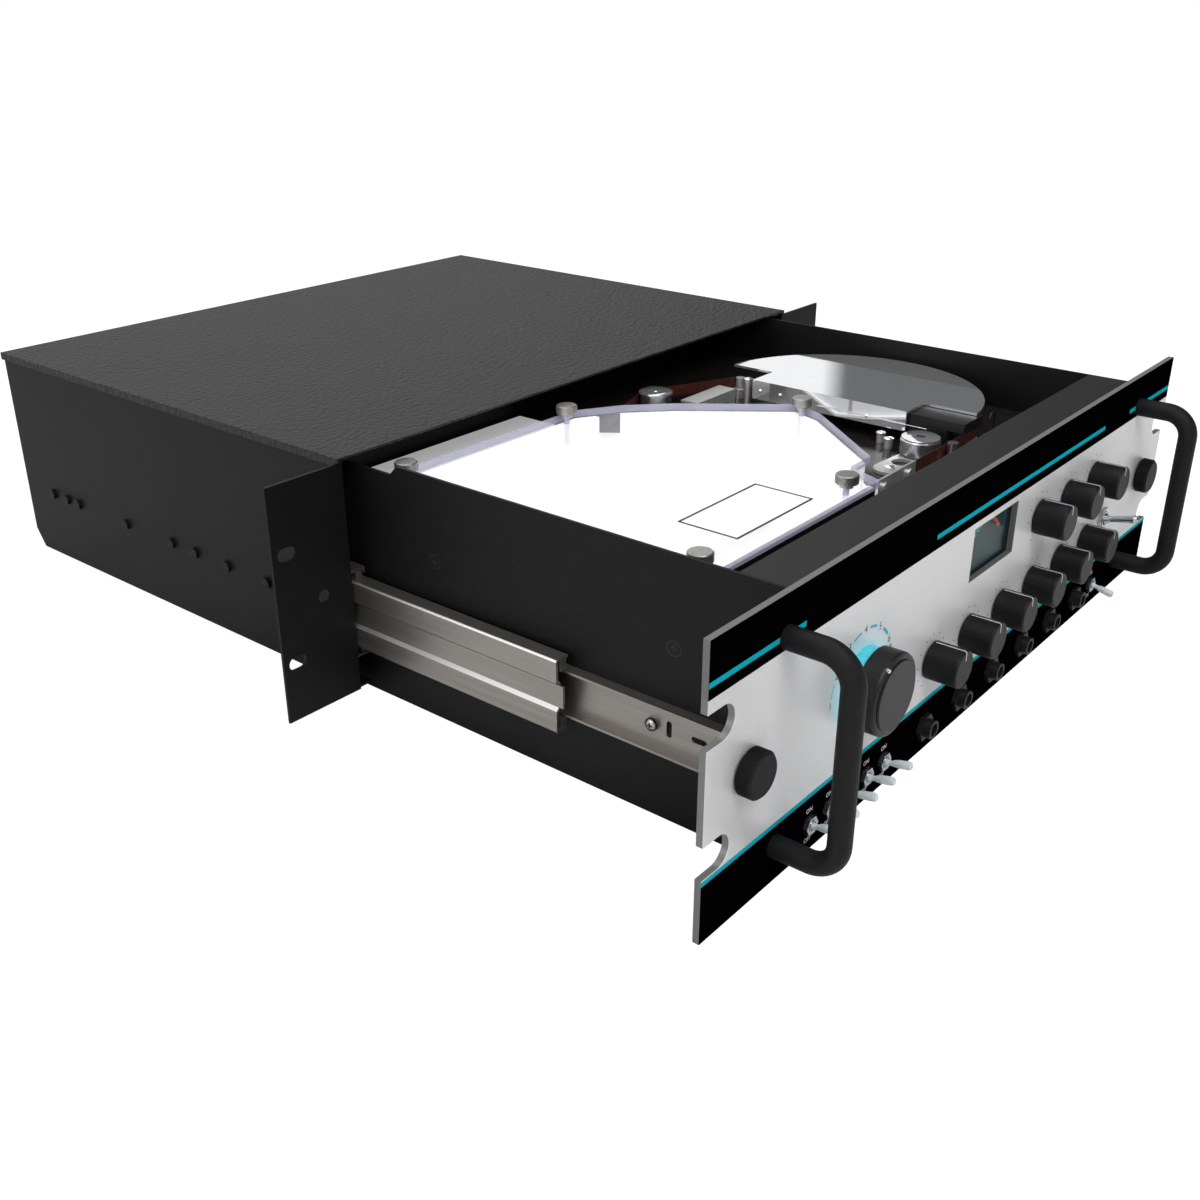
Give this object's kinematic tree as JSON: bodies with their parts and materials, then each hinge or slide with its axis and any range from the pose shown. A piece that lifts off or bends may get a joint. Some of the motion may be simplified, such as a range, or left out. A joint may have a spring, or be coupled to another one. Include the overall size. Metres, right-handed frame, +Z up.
{
  "type": "tape echo unit",
  "caption": "Rack-mounted tape echo: a sleeve with ears, and a drawer on telescopic slides that carries the control panel, handles, tape deck and clear-topped tape bin.",
  "frame": {"origin": "centre of the four ear slots, on the front face of the ears", "axes": "+X to the right of someone facing the panel, +Y into the rack, +Z up"},
  "size_m": [0.4826, 0.5899, 0.1324],
  "materials": {
    "cover_paint": "fine wrinkled powder coat, dark grey",
    "case_paint": "black powder coat",
    "handle_paint": "fine textured black powder coat",
    "panel_metal": "silver grey satin front with black printed bands",
    "rail_steel": "warm grey zinc plated steel",
    "screw_black": "black oxide screws",
    "screw_steel": "zinc plated screws",
    "knob_plastic": "black satin knobs",
    "collar_plastic": "lit cyan ring",
    "control_body": "control bodies",
    "switch_metal": "nickel plated",
    "jack_plastic": "black jacks and nuts",
    "meter_black": "meter case",
    "meter_glass": "clear window",
    "deck_metal": "glossy dark deck",
    "bin_white": "white glossy bin floor",
    "bin_black": "black bin wall",
    "clear_plastic": "clear acrylic plate",
    "nut_steel": "knurled steel nuts",
    "shield_steel": "polished steel",
    "head_black": "head carrier and block",
    "guide_steel": "polished guides",
    "tape_brown": "oxide tape",
    "motor_steel": "motor case",
    "wheel_brass": "ground steel capstan and flywheel",
    "roller_rubber": "rubber roller with polished cap",
    "core_steel": "laminated core and winding",
    "board_green": "circuit board",
    "tank_steel": "plated sheet"
  },
  "bodies": {
    "sleeve": {"sleeve_side_left": "case_paint", "sleeve_side_right": "case_paint", "sleeve_cover": "cover_paint", "sleeve_rear_panel": "case_paint", "sleeve_screws": "screw_black", "outer_rails": "rail_steel"},
    "drawer": {"inner_rails": "rail_steel", "drawer_tray": "case_paint", "drawer_rear_panel": "case_paint", "top_ledge": "case_paint", "front_panel": "panel_metal", "handles": "handle_paint", "lit_collar": "collar_plastic", "rotary_controls": "control_body", "toggle_bases": "switch_metal", "jacks": "jack_plastic", "meter_case": "meter_black", "meter_glass": "meter_glass", "deck_plate": "deck_metal", "drawer_screws": "screw_steel", "tape_bin_floor": "bin_white", "tape_bin_wall": "bin_black", "bin_cover": "clear_plastic", "bin_nuts": "nut_steel", "head_shield": "shield_steel", "tape_heads": "head_black", "tape_guides": "guide_steel", "tape_loop": "tape_brown", "drive_motor": "motor_steel", "power_transformer": "core_steel", "main_board": "board_green", "spring_tank": "tank_steel", "rear_sockets": "jack_plastic"},
    "middle_rail_left": {"middle_rail_left": "rail_steel"},
    "middle_rail_right": {"middle_rail_right": "rail_steel"},
    "capstan": {"capstan": "wheel_brass"},
    "pinch_arm": {"pinch_arm": "guide_steel"},
    "pinch_roller": {"pinch_roller": "roller_rubber"},
    "idler_roller": {"idler_roller": "guide_steel"},
    "thumbscrew_left": {"thumbscrew_left": "knob_plastic"},
    "thumbscrew_right": {"thumbscrew_right": "knob_plastic"},
    "mode_knob": {"mode_knob": "knob_plastic"},
    "power_toggle": {"power_toggle": "switch_metal"},
    "knob_one": {"knob_one": "knob_plastic"},
    "knob_two": {"knob_two": "knob_plastic"},
    "knob_three": {"knob_three": "knob_plastic"},
    "knob_four": {"knob_four": "knob_plastic"},
    "knob_five": {"knob_five": "knob_plastic"},
    "knob_six": {"knob_six": "knob_plastic"},
    "knob_seven": {"knob_seven": "knob_plastic"},
    "knob_eight": {"knob_eight": "knob_plastic"},
    "knob_nine": {"knob_nine": "knob_plastic"},
    "toggle_one": {"toggle_one": "switch_metal"},
    "toggle_two": {"toggle_two": "switch_metal"},
    "toggle_three": {"toggle_three": "switch_metal"},
    "toggle_four": {"toggle_four": "switch_metal"},
    "toggle_five": {"toggle_five": "switch_metal"},
    "toggle_six": {"toggle_six": "switch_metal"}
  },
  "joints": [
    {"name": "drawer_slide", "type": "slide", "parent": "sleeve", "child": "drawer", "axis": [0, 1, 0], "range_m": [-0.055, 0.2425]},
    {"name": "middle_left_slide", "type": "slide", "parent": "sleeve", "child": "middle_rail_left", "axis": [0, 1, 0], "range_m": [-0.032, 0.139]},
    {"name": "middle_right_slide", "type": "slide", "parent": "sleeve", "child": "middle_rail_right", "axis": [0, 1, 0], "range_m": [-0.032, 0.139]},
    {"name": "thumbscrew_left_turn", "type": "hinge", "parent": "drawer", "child": "thumbscrew_left", "pos_m": [-0.2132, -0.2462, 0], "axis": [0, -1, 0], "continuous": true},
    {"name": "thumbscrew_right_turn", "type": "hinge", "parent": "drawer", "child": "thumbscrew_right", "pos_m": [0.2132, -0.2462, 0], "axis": [0, -1, 0], "continuous": true},
    {"name": "mode_knob_turn", "type": "hinge", "parent": "drawer", "child": "mode_knob", "pos_m": [-0.1256, -0.2523, 0], "axis": [0, -1, 0], "range_deg": [-270, 60]},
    {"name": "knob_one_turn", "type": "hinge", "parent": "drawer", "child": "knob_one", "pos_m": [-0.057, -0.247, -0.0161], "axis": [0, -1, 0], "range_deg": [-150, 150]},
    {"name": "knob_two_turn", "type": "hinge", "parent": "drawer", "child": "knob_two", "pos_m": [-0.0195, -0.247, -0.0161], "axis": [0, -1, 0], "range_deg": [-150, 150]},
    {"name": "knob_three_turn", "type": "hinge", "parent": "drawer", "child": "knob_three", "pos_m": [0.018, -0.247, -0.0161], "axis": [0, -1, 0], "range_deg": [-150, 150]},
    {"name": "knob_four_turn", "type": "hinge", "parent": "drawer", "child": "knob_four", "pos_m": [0.0555, -0.247, -0.0161], "axis": [0, -1, 0], "range_deg": [-150, 150]},
    {"name": "knob_five_turn", "type": "hinge", "parent": "drawer", "child": "knob_five", "pos_m": [0.093, -0.247, -0.0161], "axis": [0, -1, 0], "range_deg": [-150, 150]},
    {"name": "knob_six_turn", "type": "hinge", "parent": "drawer", "child": "knob_six", "pos_m": [0.1305, -0.247, -0.0161], "axis": [0, -1, 0], "range_deg": [-150, 150]},
    {"name": "knob_seven_turn", "type": "hinge", "parent": "drawer", "child": "knob_seven", "pos_m": [0.0555, -0.247, 0.0214], "axis": [0, -1, 0], "range_deg": [-150, 150]},
    {"name": "knob_eight_turn", "type": "hinge", "parent": "drawer", "child": "knob_eight", "pos_m": [0.093, -0.247, 0.0214], "axis": [0, -1, 0], "range_deg": [-150, 150]},
    {"name": "knob_nine_turn", "type": "hinge", "parent": "drawer", "child": "knob_nine", "pos_m": [0.1305, -0.247, 0.0214], "axis": [0, -1, 0], "range_deg": [-150, 150]},
    {"name": "toggle_one_flip", "type": "hinge", "parent": "drawer", "child": "toggle_one", "pos_m": [-0.162, -0.2487, -0.0525], "axis": [1, 0, 0], "range_deg": [0, 26]},
    {"name": "toggle_two_flip", "type": "hinge", "parent": "drawer", "child": "toggle_two", "pos_m": [-0.14575, -0.2487, -0.0525], "axis": [1, 0, 0], "range_deg": [0, 26]},
    {"name": "toggle_three_flip", "type": "hinge", "parent": "drawer", "child": "toggle_three", "pos_m": [-0.1295, -0.2487, -0.0525], "axis": [1, 0, 0], "range_deg": [0, 26]},
    {"name": "toggle_four_flip", "type": "hinge", "parent": "drawer", "child": "toggle_four", "pos_m": [-0.11325, -0.2487, -0.0525], "axis": [1, 0, 0], "range_deg": [0, 26]},
    {"name": "toggle_five_flip", "type": "hinge", "parent": "drawer", "child": "toggle_five", "pos_m": [-0.097, -0.2487, -0.0525], "axis": [1, 0, 0], "range_deg": [0, 26]},
    {"name": "toggle_six_flip", "type": "hinge", "parent": "drawer", "child": "toggle_six", "pos_m": [0.155, -0.2487, -0.0525], "axis": [1, 0, 0], "range_deg": [-26, 0]},
    {"name": "power_toggle_flip", "type": "hinge", "parent": "drawer", "child": "power_toggle", "pos_m": [0.157, -0.2487, -0.0112], "axis": [1, 0, 0], "range_deg": [0, 26]},
    {"name": "capstan_spin", "type": "hinge", "parent": "drawer", "child": "capstan", "pos_m": [0.065, -0.1909, 0.0337], "axis": [0, 0, 1], "continuous": true},
    {"name": "pinch_arm_swing", "type": "hinge", "parent": "drawer", "child": "pinch_arm", "pos_m": [0.0356, -0.1697, 0.0337], "axis": [0, 0, 1], "range_deg": [-7.5, 0]},
    {"name": "pinch_roller_spin", "type": "hinge", "parent": "pinch_arm", "child": "pinch_roller", "pos_m": [0.0653, -0.172, 0.0365], "axis": [0, 0, 1], "continuous": true},
    {"name": "idler_roller_spin", "type": "hinge", "parent": "drawer", "child": "idler_roller", "pos_m": [0.0397, -0.0102, 0.0337], "axis": [0, 0, 1], "continuous": true}
  ],
  "couplings": [
    {"joint": "middle_left_slide", "follows": "drawer_slide", "ratio": 0.57},
    {"joint": "middle_right_slide", "follows": "drawer_slide", "ratio": 0.57}
  ]
}
